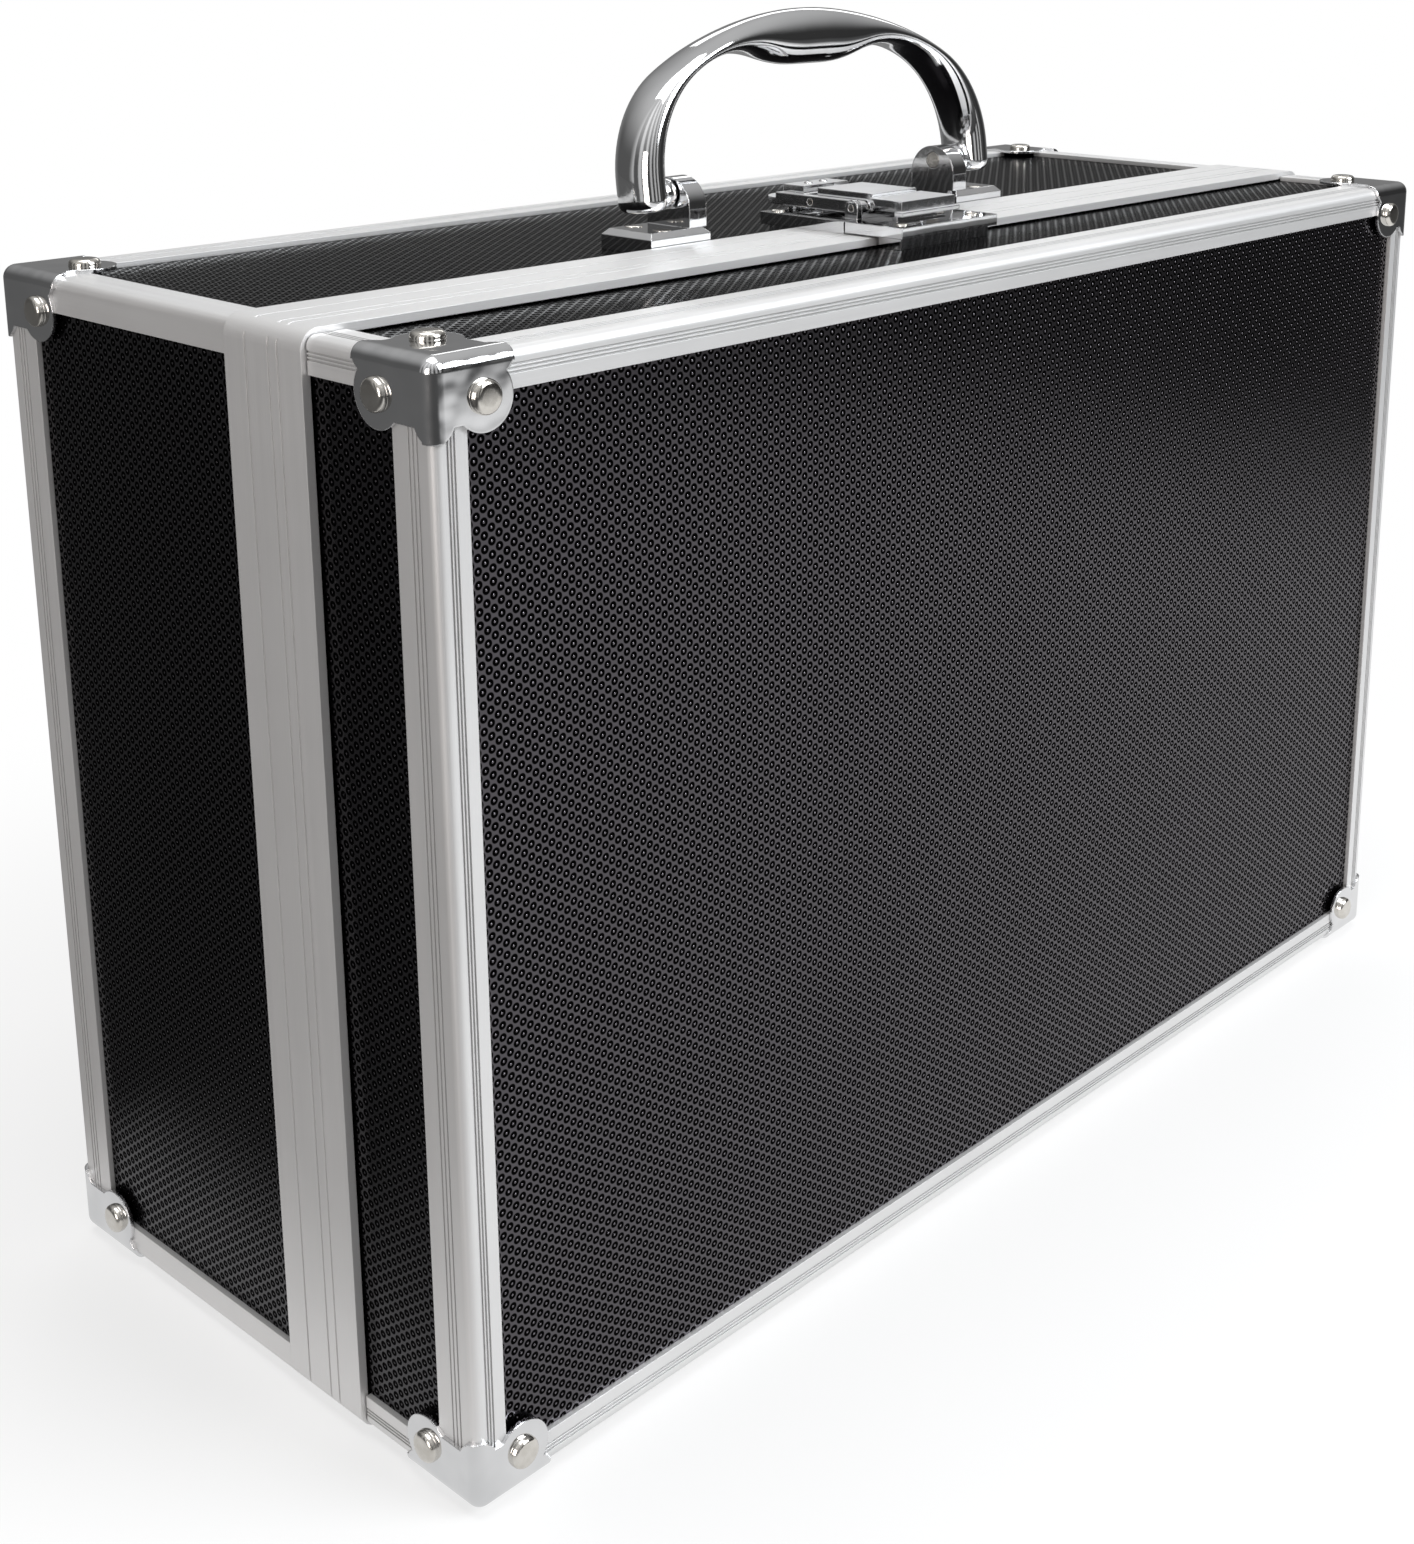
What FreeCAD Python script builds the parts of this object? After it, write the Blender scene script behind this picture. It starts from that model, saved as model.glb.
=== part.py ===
import FreeCAD, Part
import math
import os
import re

# Aluminium case standing on its hinge side: a deep rear half, the base, and a shallow front half, the lid.
# X runs along the width, the lid faces -Y, +Z is up, and the rivet heads of the bottom stand on Z = 0.

doc = FreeCAD.newDocument("aluminium_case")
sheet = doc.addObject("Spreadsheet::Sheet", "Sizes")

# Driving dimensions, in millimetres
SIZES = {
    # Overall
    "case_width": 335, "case_height": 220, "case_depth": 139, "lid_show": 34.7, "overrun": 1,
    # Walls: laminated panels held by thin edge profiles
    "panel_thick": 3.2, "lining_thick": 1.5, "leg_thick": 1.2, "edge_leg_face": 7.1, "edge_leg_side": 11,
    "depth_leg_side": 7, "depth_leg_top": 8.5, "profile_round": 2, "groove_width": 0.4, "groove_depth": 0.3,
    "profile_cover": 2.8,
    # Closing frames: a wide band with a lip on the base, a stepped tongue in the lid
    "band_width": 23.8, "band_thick": 1.8, "band_round": 4, "lip_reach": 10, "band_web": 1.2,
    "band_inner_leg": 1, "band_inner_length": 8, "band_groove": 0.5, "lid_inset": 0.5, "lid_sill": 0.15,
    "lip_gap": 0.3, "seam_gap": 0.4, "tongue_thick": 1.5, "tongue_reach": 2.5, "tongue_gap": 0.8,
    "tongue_seat": 19,
    # Corner protectors and their rivets
    "protector_thick": 0.8, "protector_bend": 2.8, "ear_x": 17.2, "ear_y": 20.7, "ear_z": 14,
    "ear_round": 4.2, "lobe_round": 6.2, "lobe_set": 6.8, "ear_notch": 2.6, "rivet_head": 3.2,
    "rivet_rise": 1.5, "rivet_shank": 1.4, "hole_clear": 0.1,
    # Carrying handle and its brackets
    "handle_half": 60.5, "handle_leg": 8, "handle_deep": 13, "handle_rise": 39, "handle_straight": 3,
    "handle_foot": 3.7, "handle_toe": 2.5, "handle_rim": 2, "inner_straight": 3.7, "hollow_set": 25,
    "hollow_rise": 29.4, "swell_flat": 5, "swell_drop": 3.3, "handle_boss": 3.6, "boss_clear": 0.5,
    "handle_set": 8.6, "pivot_rise": 10.7, "pivot_radius": 2, "pin_blind": 2, "fit_clear": 0.06,
    "ear_gap": 3.8, "ear_thick": 5.2, "ear_deep": 13.5, "ear_top": 14.3, "foot_reach": 18, "foot_deep": 16,
    "foot_thick": 4.7, "foot_chamfer": 1.3, "small_head": 2, "flush_rise": 0.2, "small_shank": 1.1,
    "foot_rivet_out": 11.5, "foot_rivet_pitch": 9,
    # Draw latch
    "latch_half": 17, "latch_joint": 8.6, "latch_rear": 10.7, "latch_plate_rise": 3.5, "latch_pin": 0.8,
    "latch_pin_rise": 5.8, "latch_pin_set": 1.8, "latch_ear": 1.9, "latch_ear_thick": 1.6,
    "latch_side_gap": 0.4, "seat_inset": 1.5, "lever_half": 10.4, "lever_slot": 8.3, "lever_nose": 1.4,
    "lever_rail": 21.5, "lever_pad": 4, "lever_cap_set": 4.4, "tab_round": 6, "tab_set": 4, "tab_thick": 1.6,
    "tab_drop": 0.6, "hook_half": 7.8, "hook_eye": 1.6, "hook_arm": 14.5, "hook_under": 0.8, "hook_over": 3.1,
    "hook_head": 10.2, "hook_head_half": 9.4, "hook_head_low": 0.5, "hook_head_high": 2.3, "hook_head_gap": 1,
    "hook_wall": 1.6, "hook_lip": 0.8, "hook_lip_half": 10.2, "hook_lip_thick": 1, "hook_lip_low": 1,
    "striker_rise": 3.5, "striker_reach": 8.7, "striker_step": 0.6, "striker_lift": 0.4, "catch_half": 8.5,
    "catch_thick": 1.6, "catch_rise": 0.8, "catch_gap": 0.5, "latch_rivet_x": 14.2, "latch_rivet_set": 3,
    "striker_rivet_x": 12.5, "striker_rivet_set": 4, "latch_rivet_head": 1.6, "latch_rivet_rise": 0.4,
    # Hinges at the bottom, just in front of the lip
    "hinge_x": 95, "hinge_length": 32, "knuckle_radius": 1.4, "knuckle_mid": 12, "knuckle_gap": 0.3,
    "knuckle_floor": 0.35, "hinge_pin": 0.7, "leaf_thick": 0.9, "base_leaf": 22.5, "lid_leaf": 16,
    "hinge_rivet_pitch": 18, "base_hinge_rivet": 3.2, "lid_hinge_rivet": 4, "hinge_rivet_rise": 0.45,
}
# Shares: groove places across a leg and the band, and the shape of a rivet's head
GROOVE_SHARES = (0.40, 0.50, 0.60)
BAND_GROOVE_SHARES = (0.30, 0.42, 0.72)
RIVET_RIM_SHARE = 0.45
RIVET_CROWN_SHARE = 0.62
HOLLOW_ROUND_SHARE = 0.48
# How far each shoulder of the handle turns, and how far back the handle leans, in degrees
SHOULDER_TURN = 60
HANDLE_LEAN = 7
# How near two points are that count as one
SAME_POINT = 1e-6

# Places worked out from the sizes
PLACES = {
    "floor_gap": "rivet_rise + protector_thick",
    "side": "case_width / 2", "low": "floor_gap", "top": "floor_gap + case_height",
    "back": "case_depth / 2", "front": "-case_depth / 2",
    "lid_side": "side - lid_inset", "lid_low": "low + lid_sill", "lid_top": "top - lid_inset",
    "wall": "leg_thick + panel_thick",
    "band_front": "front + lid_show", "band_rear": "band_front + band_width",
    "band_proud": "band_thick - leg_thick",
    "seam": "band_front + lip_reach", "seam_lid": "seam - seam_gap", "seam_base": "seam + band_web",
    "frame_wall": "wall + band_inner_leg", "tongue_wall": "frame_wall + tongue_gap",
    "tongue_inner": "tongue_wall + tongue_thick",
    "lobe_x": "ear_x - lobe_set", "lobe_y": "ear_y - lobe_set", "lobe_z": "ear_z - lobe_set",
    "handle_y": "band_rear + handle_set", "pivot_z": "top + pivot_rise",
    "handle_inner": "handle_half - handle_leg", "bracket_outer": "handle_inner - ear_gap",
    "bracket_inner": "bracket_outer - ear_thick", "top_panel": "top - leg_thick",
    "foot_top": "top_panel + foot_thick", "joint_y": "band_front + latch_joint",
    "latch_y": "joint_y + latch_pin_set", "latch_z": "top + latch_pin_rise",
    "plate_low": "top + band_proud", "plate_top": "top + latch_plate_rise",
    "latch_back": "band_rear + latch_rear", "pad_front": "latch_y + lever_rail",
    "pad_rear": "pad_front + lever_pad", "tab_y": "pad_rear + tab_set", "tab_top": "latch_z - tab_drop",
    "hook_y": "latch_y + hook_arm", "hook_low": "latch_z - hook_under", "hook_high": "latch_z + hook_over",
    "head_rear": "latch_y - lever_nose - hook_head_gap", "head_front": "head_rear - hook_head",
    "head_low": "latch_z + hook_head_low", "lip_low": "latch_z - hook_lip_low",
    "striker_low": "plate_low + striker_lift", "striker_top": "top + striker_rise",
    "striker_front": "band_front - striker_reach",
    "hinge_y": "band_front - knuckle_gap - knuckle_radius", "hinge_z": "knuckle_floor + knuckle_radius",
    "band_low": "low - band_proud", "lid_panel_low": "lid_low + leg_thick",
}


def expand(text):
    """Turns a sum of size and place names into one that the document reads."""
    def swap(match):
        word = match.group()
        return "(" + expand(PLACES[word]) + ")" if word in PLACES else "Sizes." + word
    return re.sub(r"[a-z][a-z_]*", swap, text)


def fill_sheet():
    for row, (name, size) in enumerate(SIZES.items(), start=1):
        sheet.set(f"A{row}", name)
        sheet.set(f"B{row}", str(size))
        sheet.setAlias(f"B{row}", name)
    doc.recompute()


def bind(piece, **sums):
    """Binds properties, with __ for a dot, to sums of sizes."""
    for name, text in sums.items():
        piece.setExpression(name.replace("__", "."), expand(text))
    return piece


def move(piece, place):
    x, y, z = place
    return bind(piece, Placement__Base__x=x, Placement__Base__y=y, Placement__Base__z=z)


def box(name, xs, ys, zs):
    """A box between two planes on each axis."""
    piece = doc.addObject("Part::Box", name)
    sizes = [f"({high}) - ({low})" for low, high in (xs, ys, zs)]
    bind(piece, Length=sizes[0], Width=sizes[1], Height=sizes[2])
    return move(piece, (xs[0], ys[0], zs[0]))


def turn_to(direction):
    rotation = FreeCAD.Rotation(FreeCAD.Vector(0, 0, 1), FreeCAD.Vector(*direction))
    return FreeCAD.Placement(FreeCAD.Vector(), rotation)


def rod(name, start, direction, length, radius):
    """A round bar from a point, along a direction."""
    piece = doc.addObject("Part::Cylinder", name)
    piece.Placement = turn_to(direction)
    bind(piece, Height=length, Radius=radius)
    return move(piece, start)


def cone(name, start, direction, length, radius, tip):
    piece = doc.addObject("Part::Cone", name)
    piece.Placement = turn_to(direction)
    bind(piece, Height=length, Radius1=radius, Radius2=tip)
    return move(piece, start)


def fuse(name, pieces):
    piece = doc.addObject("Part::MultiFuse", name)
    piece.Shapes = pieces
    piece.Refine = True
    return piece


def cut(name, body, tools):
    piece = doc.addObject("Part::Cut", name)
    piece.Base = body
    piece.Tool = tools[0] if len(tools) == 1 else fuse(name + "_tools", tools)
    return piece


def group(name, pieces):
    piece = doc.addObject("Part::Compound", name)
    piece.Links = pieces
    return piece


def ring(name, outer, inner, ys):
    """A frame round the Y axis, given by how far its planes lie inside the case's outer planes."""
    def block(tag, inset, span):
        return box(name + tag, (f"-side + ({inset})", f"side - ({inset})"), span,
                   (f"low + ({inset})", f"top - ({inset})"))
    hollow = block("_hollow", inner, (f"{ys[0]} - overrun", f"{ys[1]} + overrun"))
    return cut(name, block("_block", outer, ys), [hollow])


def ease(kind, name, body, size, wanted):
    """Rounds or chamfers the edges that a test picks."""
    doc.recompute()
    piece = doc.addObject(kind, name)
    piece.Base = body
    reach = sheet.get(size)
    picked = [i for i, edge in enumerate(body.Shape.Edges, start=1) if wanted(edge, body.Shape.BoundBox)]
    piece.Edges = [(i, reach, reach) for i in picked]
    return piece


def fillet(name, body, size, wanted):
    return ease("Part::Fillet", name, body, size, wanted)


def chamfer(name, body, size, wanted):
    return ease("Part::Chamfer", name, body, size, wanted)


def on_top(edge, bounds):
    return edge.BoundBox.ZMin > bounds.ZMax - SAME_POINT


def shift(place, axis, text):
    return tuple(f"{place[i]} + {text}" if i == axis else place[i] for i in range(3))


def rivet(name, seat, axis, sign, tail, head, rise, shank):
    """A rivet on a surface, its shank through the wall behind; also gives the tool for its hole."""
    out = [sign if i == axis else 0 for i in range(3)]
    inward = [-step for step in out]
    rim = f"({rise}) * {RIVET_RIM_SHARE}"
    pieces = [
        rod(name + "_shank", seat, inward, tail, shank),
        rod(name + "_rim", seat, out, rim, head),
        cone(name + "_crown", shift(seat, axis, f"{sign} * {rim}"), out, f"({rise}) * {1 - RIVET_RIM_SHARE}",
             head, f"{head} * {RIVET_CROWN_SHARE}"),
    ]
    start = shift(seat, axis, f"{sign} * overrun")
    hole = rod(name + "_hole", start, inward, f"{tail} + 2 * overrun", f"{shank} + hole_clear")
    return fuse(name, pieces), hole


def signed(sign, text):
    return text if sign > 0 else f"-({text})"


class Half:
    """The planes of one half of the case, and the holes that its panels need."""
    def __init__(self, name, side, low, top, face, out):
        self.name, self.side, self.low, self.top = name, side, low, top
        self.face, self.out = face, out
        self.holes = {wall: [] for wall in ("face", "top", "bottom", "left", "right")}

    def y(self, inset):
        return f"{self.face} - {self.out} * ({inset})"

    def z(self, up, inset):
        return f"{self.top} - ({inset})" if up > 0 else f"{self.low} + ({inset})"

    def y_span(self, near, far):
        """Two planes square to Y at depths near and far below the big face, lower one first."""
        return (self.y(far), self.y(near)) if self.out > 0 else (self.y(near), self.y(far))


base = Half("base", "side", "low", "top", "back", 1)
lid = Half("lid", "lid_side", "lid_low", "lid_top", "front", -1)


def corner_rivets(half):
    """Three rivets on each of the four corners, one to a face."""
    pieces = []
    through = "protector_thick + wall"
    for right in (-1, 1):
        for up in (-1, 1):
            tag = f"{half.name}_rivet_{'right' if right > 0 else 'left'}_{'top' if up > 0 else 'bottom'}"
            x = signed(right, f"{half.side} - (lobe_x)")
            y, z = half.y("lobe_y"), half.z(up, "lobe_z")
            seats = {
                "side": ((signed(right, f"{half.side} + protector_thick"), y, z), 0, right,
                         "right" if right > 0 else "left"),
                "face": ((x, half.y("-protector_thick"), z), 1, half.out, "face"),
                "end": ((x, y, half.z(up, "-protector_thick")), 2, up, "top" if up > 0 else "bottom"),
            }
            for spot, (seat, axis, sign, wall) in seats.items():
                piece, hole = rivet(f"{tag}_{spot}", seat, axis, sign, through, "rivet_head", "rivet_rise",
                                    "rivet_shank")
                pieces.append(piece)
                half.holes[wall].append(hole)
    return group(half.name + "_corner_rivets", pieces)


def panels(half, seam):
    """The big panel lies across the edges of the other four."""
    x_full = f"{half.side} - leg_thick"
    x_inner = f"{half.side} - (wall)"
    depth = (half.y("wall"), seam) if half.out < 0 else (seam, half.y("wall"))
    full = (f"-({x_full})", x_full)
    walls = {
        "face": (full, half.y_span("leg_thick", "wall"), (half.z(-1, "leg_thick"), half.z(1, "leg_thick"))),
        "top": (full, depth, (half.z(1, "wall"), half.z(1, "leg_thick"))),
        "bottom": (full, depth, (half.z(-1, "leg_thick"), half.z(-1, "wall"))),
        "left": ((f"-({x_full})", f"-({x_inner})"), depth, (half.z(-1, "wall"), half.z(1, "wall"))),
        "right": ((x_inner, x_full), depth, (half.z(-1, "wall"), half.z(1, "wall"))),
    }
    big = "back" if half.out > 0 else "front"
    pieces = []
    for wall, spans in walls.items():
        name = f"{half.name}_{big if wall == 'face' else wall}_panel"
        pieces.append(cut(name, box(name + "_blank", *spans), half.holes[wall]))
    return pieces


def profile(name, legs, corner, across, axis, length, grooved):
    """An angle profile: its section lies at a corner point, its legs along two inward directions."""
    long_leg, short_leg = (sheet.get(leg) for leg in legs)
    thick, round_off = sheet.get("leg_thick"), sheet.get("profile_round")
    half_groove, deep = sheet.get("groove_width") / 2, sheet.get("groove_depth")
    first, second = (FreeCAD.Vector(*step) for step in across)

    def outer_run(leg):
        run = [(round_off, 0)]
        for share in GROOVE_SHARES if grooved else ():
            middle = leg * share
            run += [(middle - half_groove, 0), (middle - half_groove, deep)]
            run += [(middle + half_groove, deep), (middle + half_groove, 0)]
        return run + [(leg, 0), (leg, thick)]

    corners = [first * u + second * v for u, v in outer_run(long_leg)]
    corners.append(first * thick + second * thick)
    corners += [first * v + second * u for u, v in reversed(outer_run(short_leg))]
    inset = round_off * (1 - math.sqrt(0.5))
    bend = Part.Arc(corners[-1], (first + second) * inset, corners[0]).toShape()
    edges = Part.makePolygon(corners).Edges
    section = doc.addObject("Part::Feature", name + "_section")
    section.Shape = Part.Wire(edges + [bend])
    move(section, corner)
    piece = doc.addObject("Part::Extrusion", name)
    piece.Base = section
    piece.DirMode = "Custom"
    piece.Dir = FreeCAD.Vector(*axis)
    piece.Solid = True
    return bind(piece, LengthFwd=length)


def edge_profiles(half):
    """Angle profiles round the big face, stopping under the protectors."""
    big = "back" if half.out > 0 else "front"
    pieces = []
    inward = (0, -half.out, 0)
    for up, word in ((1, "top"), (-1, "bottom")):
        start = (f"-({half.side}) + ear_x - profile_cover", half.face, half.z(up, "0"))
        pieces.append(profile(f"{half.name}_{big}_{word}_profile", ("edge_leg_side", "edge_leg_face"), start,
                              (inward, (0, 0, -up)), (1, 0, 0),
                              f"2 * ({half.side} - ear_x + profile_cover)", True))
    for right, word in ((1, "right"), (-1, "left")):
        start = (signed(right, half.side), half.face, half.z(-1, "ear_z - profile_cover"))
        pieces.append(profile(f"{half.name}_{big}_{word}_profile", ("edge_leg_side", "edge_leg_face"), start,
                              (inward, (-right, 0, 0)), (0, 0, 1),
                              f"{half.top} - ({half.low}) - 2 * (ear_z - profile_cover)", True))
    return pieces


def depth_profiles(half, stop, grooved):
    """Angle profiles along the four depth edges, from the protectors to the closing band."""
    pieces = []
    begin = half.y("ear_y - profile_cover")
    low_y, high_y = (stop, begin) if half.out > 0 else (begin, stop)
    for right, side_word in ((1, "right"), (-1, "left")):
        for up, word in ((1, "top"), (-1, "bottom")):
            start = (signed(right, half.side), low_y, half.z(up, "0"))
            pieces.append(profile(f"{half.name}_depth_profile_{word}_{side_word}",
                                  ("depth_leg_top", "depth_leg_side"), start,
                                  ((-right, 0, 0), (0, 0, -up)), (0, 1, 0),
                                  f"({high_y}) - ({low_y})", grooved))
    return pieces


def protectors(half):
    """Pressed three-sided corners: on each face two ears along the edges and a round lobe between them."""
    name = f"{half.name}_protector"
    corner = (half.side, half.face, half.top)
    signs = (1, half.out, 1)
    ears, lobes = ("ear_x", "ear_y", "ear_z"), ("lobe_x", "lobe_y", "lobe_z")

    def at(axis, inset):
        return f"{corner[axis]} - {signs[axis]} * ({inset})"

    def span(axis, inset, outset):
        ends = (at(axis, inset), at(axis, f"-({outset})"))
        return ends if signs[axis] > 0 else ends[::-1]

    def bends(edge, bounds):
        tip = FreeCAD.Vector(bounds.XMax, bounds.YMax if half.out > 0 else bounds.YMin, bounds.ZMax)
        return any(tip.isEqual(end.Point, SAME_POINT) for end in edge.Vertexes)

    blank = box(name + "_blank", *[span(i, ears[i], "protector_thick") for i in range(3)])
    core = box(name + "_core", *[span(i, f"{ears[i]} + overrun", "0") for i in range(3)])
    shell = cut(name + "_shell", fillet(name + "_bent", blank, "protector_bend", bends),
                [fillet(name + "_hollow", core, "profile_round", bends)])
    outlines, holes = [], []
    for axis in range(3):
        one, two = [i for i in range(3) if i != axis]
        out = [signs[axis] if i == axis else 0 for i in range(3)]
        spans = [span(i, f"{ears[i]} - ear_notch", "protector_thick + overrun") for i in range(3)]
        spans[axis] = span(axis, "profile_round", "protector_thick + overrun")
        outlines.append(box(f"{name}_core_{axis}", *spans))
        deep = "profile_round + protector_thick + overrun"

        def disc(tag, one_inset, two_inset, radius):
            start = [at(axis, "profile_round")] * 3
            start[one], start[two] = at(one, one_inset), at(two, two_inset)
            return rod(f"{name}_{tag}_{axis}", tuple(start), out, deep, radius)

        outlines.append(disc("lobe", lobes[one], lobes[two], "lobe_round"))
        outlines.append(disc("ear_one", f"{ears[one]} - ear_round", "0", "ear_round"))
        outlines.append(disc("ear_two", "0", f"{ears[two]} - ear_round", "ear_round"))
        holes.append(disc("hole", lobes[one], lobes[two], "rivet_shank + hole_clear"))
    trimmed = doc.addObject("Part::MultiCommon", name + "_trimmed")
    trimmed.Shapes = [shell, fuse(name + "_outline", outlines)]
    top_right = cut(name + "_top_right", trimmed, holes)

    def mirror(tag, source, normal):
        piece = doc.addObject("Part::Mirroring", f"{name}_{tag}")
        piece.Source = source
        piece.Normal = FreeCAD.Vector(*normal)
        return bind(piece, Base__z=f"(({half.low}) + ({half.top})) / 2")

    top_left = mirror("top_left", top_right, (1, 0, 0))
    return [top_right, top_left, mirror("bottom_right", top_right, (0, 0, 1)),
            mirror("bottom_left", top_left, (0, 0, 1))]


def base_closing_frame(holes):
    """The wide band round the mouth: a lip over the lid and a channel that holds the panels' edges."""
    block = box("band_block", ("-side - (band_proud)", "side + band_proud"), ("band_front", "band_rear"),
                ("low - (band_proud)", "top + band_proud"))
    rounded = fillet("band_rounded", block, "band_round",
                     lambda edge, bounds: edge.BoundBox.YLength > bounds.YLength - SAME_POINT)
    hollow = box("band_hollow", ("-side + leg_thick", "side - leg_thick"),
                 ("band_front - overrun", "band_rear + overrun"), ("low + leg_thick", "top - leg_thick"))
    grooves = []
    for number, share in enumerate(BAND_GROOVE_SHARES):
        middle = f"band_front + band_width * {share}"
        grooves.append(ring(f"band_groove_{number}", "-(band_proud) - overrun", "groove_depth - (band_proud)",
                            (f"{middle} - band_groove / 2", f"{middle} + band_groove / 2")))
    plate = cut("band_plate", rounded, [hollow] + grooves)
    web = ring("band_web_ring", "leg_thick", "frame_wall", ("seam", "seam_base"))
    inner = ring("band_inner_ring", "wall", "frame_wall", ("seam", "seam + band_inner_length"))
    return cut("base_closing_frame", fuse("band_whole", [plate, web, inner]), holes)


def lid_closing_frame():
    """A stepped ring inside the lid's walls whose tongue enters the base."""
    def block(tag, side, low, top, ys):
        return box("tongue_" + tag, (f"-({side})", side), ys, (low, top))
    seat = block("seat", "lid_side - (wall)", "lid_low + wall", "lid_top - (wall)",
                 ("seam_lid - tongue_seat", "seam_lid"))
    reach = block("reach", "side - (tongue_wall)", "low + tongue_wall", "top - (tongue_wall)",
                  ("seam_lid", "seam + tongue_reach"))
    hollow = block("hollow", "side - (tongue_inner)", "low + tongue_inner", "top - (tongue_inner)",
                   ("seam_lid - tongue_seat - overrun", "seam + tongue_reach + overrun"))
    return cut("lid_closing_frame", fuse("tongue_whole", [seat, reach]), [hollow])


def lining(half, stop):
    """A thin soft tray against the panels."""
    def block(tag, inset, end):
        far = half.y(inset)
        ys = (end, far) if half.out > 0 else (far, end)
        xs = (f"-({half.side}) + ({inset})", f"{half.side} - ({inset})")
        return box(f"{half.name}_lining_{tag}", xs, ys, (half.z(-1, inset), half.z(1, inset)))
    hollow = block("hollow", "wall + lining_thick", f"{stop} - {half.out} * overrun")
    return cut(half.name + "_lining", block("block", "wall", stop), [hollow])


def arc(centre, radius, begin, end):
    """An arc in the XZ plane from one unit direction to another, the short way round."""
    middle = FreeCAD.Vector(begin + end).normalize()
    return Part.Arc(*[centre + direction * radius for direction in (begin, middle, end)]).toShape()


def handle_outline():
    """Right half of the arch: crown, shoulder, leg with a rounded toe, finger hollow and half the swell."""
    half, leg = sheet.get("handle_half"), sheet.get("handle_leg")
    rise, straight = sheet.get("handle_rise"), sheet.get("handle_straight")
    foot, toe, inner = sheet.get("handle_foot"), sheet.get("handle_toe"), half - leg
    inner_straight = sheet.get("inner_straight")
    hollow_x, hollow_z = sheet.get("hollow_set"), sheet.get("hollow_rise")
    swell_flat, drop = sheet.get("swell_flat"), sheet.get("swell_drop")

    def at(x, z):
        return FreeCAD.Vector(x, 0, z)

    cosine, sine = math.cos(math.radians(SHOULDER_TURN)), math.sin(math.radians(SHOULDER_TURN))
    right, up, turned = at(1, 0), at(0, 1), at(cosine, sine)
    flat = (1 - sine) / cosine
    shoulder = (rise - straight - half * flat) / (sine - (1 - cosine) * flat)
    crown = (half - shoulder * (1 - cosine)) / cosine
    # Two tangent arcs lead from the leg's inner side up to the hollow
    across, climb = inner - hollow_x, hollow_z - inner_straight
    spread = (1 - cosine) * (1 - sine) - cosine * sine
    inner_shoulder = (across * (1 - sine) - climb * cosine) / spread
    inner_crown = ((1 - cosine) * climb - sine * across) / spread
    # Two more lead from the hollow down to the swell
    both = ((hollow_x - swell_flat) ** 2 + drop ** 2) / (2 * drop)
    hollow_round = both * HOLLOW_ROUND_SHARE
    swell_round = both - hollow_round
    hollow_centre = at(hollow_x, hollow_z - hollow_round)
    swell_centre = at(swell_flat, hollow_z - drop + swell_round)
    wave = (swell_centre - hollow_centre).normalize()
    return [
        arc(at(0, rise - crown), crown, up, turned),
        arc(at(half - shoulder, straight), shoulder, turned, right),
        Part.makeLine(at(half, straight), at(half, toe - foot)),
        arc(at(half - toe, toe - foot), toe, right, -up),
        Part.makeLine(at(half - toe, -foot), at(inner + toe, -foot)),
        arc(at(inner + toe, toe - foot), toe, -up, -right),
        Part.makeLine(at(inner, toe - foot), at(inner, inner_straight)),
        arc(at(inner - inner_shoulder, inner_straight), inner_shoulder, right, turned),
        arc(at(hollow_x, hollow_z - inner_crown), inner_crown, turned, up),
        arc(hollow_centre, hollow_round, up, wave),
        arc(swell_centre, swell_round, -wave, -up),
        Part.makeLine(at(swell_flat, hollow_z - drop), at(0, hollow_z - drop)),
    ]


def handle():
    """A cast arch with rounded rims, leaning back a little, and a boss round each pivot."""
    half, leg, deep = sheet.get("handle_half"), sheet.get("handle_leg"), sheet.get("handle_deep")
    centre, across, along = FreeCAD.Vector(), FreeCAD.Vector(0, 1, 0), FreeCAD.Vector(1, 0, 0)
    right = handle_outline()
    left = [edge.mirror(centre, along) for edge in right]
    outline = Part.Face(Part.Wire(Part.__sortEdges__(right + left)))
    outline.translate(across * (-deep / 2))
    arch = outline.extrude(across * deep)
    rims = [edge for edge in arch.Edges if edge.BoundBox.YLength < SAME_POINT]
    arch = arch.makeFillet(sheet.get("handle_rim"), rims)
    gap, blind = sheet.get("ear_gap"), sheet.get("pin_blind")
    reach = gap - sheet.get("boss_clear")
    bore = sheet.get("pivot_radius") + sheet.get("fit_clear")
    for side in (along, along * -1):
        boss = Part.makeCylinder(sheet.get("handle_boss"), reach + leg / 2, side * (half - leg - reach), side)
        hole = Part.makeCylinder(bore, gap + leg - blind, side * (half - leg - gap), side)
        arch = arch.fuse(boss).cut(hole)
    piece = doc.addObject("Part::Feature", "handle")
    piece.Shape = arch
    piece.Placement = FreeCAD.Placement(centre, FreeCAD.Rotation(along, -HANDLE_LEAN))
    return move(piece, ("0", "handle_y", "pivot_z"))


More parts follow.
